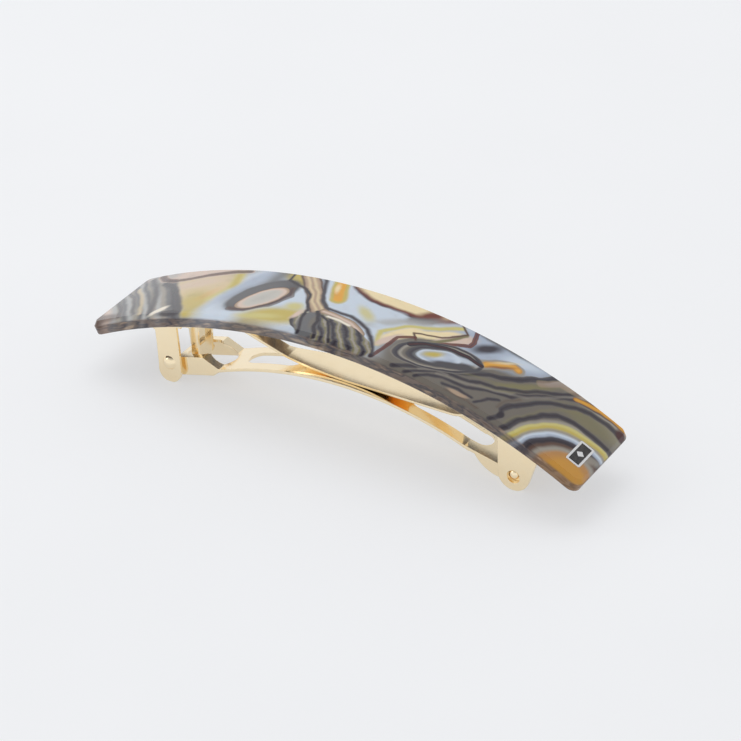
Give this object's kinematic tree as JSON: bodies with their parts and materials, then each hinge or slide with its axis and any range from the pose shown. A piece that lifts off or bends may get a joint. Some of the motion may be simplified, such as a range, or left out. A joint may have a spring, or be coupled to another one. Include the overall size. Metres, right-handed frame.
{
  "type": "barrette",
  "caption": "Arched acetate hair barrette on a sprung metal clip: hinged arm, tension bar and squeeze-to-open catch with finger levers.",
  "frame": {"origin": "below the middle of the plate, on the surface the clip stands on", "axes": "+X along the plate towards the hinge, +Y across it, +Z out of the plate's top face"},
  "size_m": [0.102, 0.0198, 0.0224],
  "materials": {
    "acetate": "polished, marbled",
    "silver": "polished",
    "enamel": "gloss",
    "gold_strip": "polished gold plate",
    "gold_arm": "polished gold plate",
    "gold_spring": "polished gold plate",
    "gold_catch": "polished gold plate",
    "gold_pins": "polished gold plate"
  },
  "bodies": {
    "base": {"acetate_plate": "acetate", "inlay_plaque": "silver", "plaque_enamel": "enamel", "base_strip": "gold_strip", "mounting_studs": "gold_pins", "catch_plate": "gold_catch", "catch_rivets": "gold_pins"},
    "arm": {"clamp_arm": "gold_arm", "hinge_pin": "gold_pins"},
    "bar": {"tension_bar": "gold_spring"},
    "near_lever": {"near_release_lever": "gold_catch"},
    "far_lever": {"far_release_lever": "gold_catch"}
  },
  "joints": [
    {"name": "arm_hinge", "type": "hinge", "parent": "base", "child": "arm", "pos_m": [0.03595, 0, 0.0031], "axis": [0, -1, 0], "range_deg": [0, 95]},
    {"name": "bar_flex", "type": "hinge", "parent": "base", "child": "bar", "pos_m": [-0.02875, 0, 0.0155], "axis": [0, -1, 0], "range_deg": [0, 4.5], "stiffness_Nm_per_rad": 0.1, "springref_deg": -5.73},
    {"name": "near_squeeze", "type": "hinge", "parent": "base", "child": "near_lever", "pos_m": [-0.0358, -0.0043, 0.0125], "axis": [0.9426, 0, 0.3338], "range_deg": [0, 3], "stiffness_Nm_per_rad": 0.05, "springref_deg": -5.73},
    {"name": "far_squeeze", "type": "hinge", "parent": "base", "child": "far_lever", "pos_m": [-0.0358, 0.0043, 0.0125], "axis": [-0.9426, 0, -0.3338], "range_deg": [0, 3], "stiffness_Nm_per_rad": 0.05, "springref_deg": -5.73}
  ],
  "couplings": [
    {"joint": "far_squeeze", "follows": "near_squeeze", "ratio": 1}
  ]
}
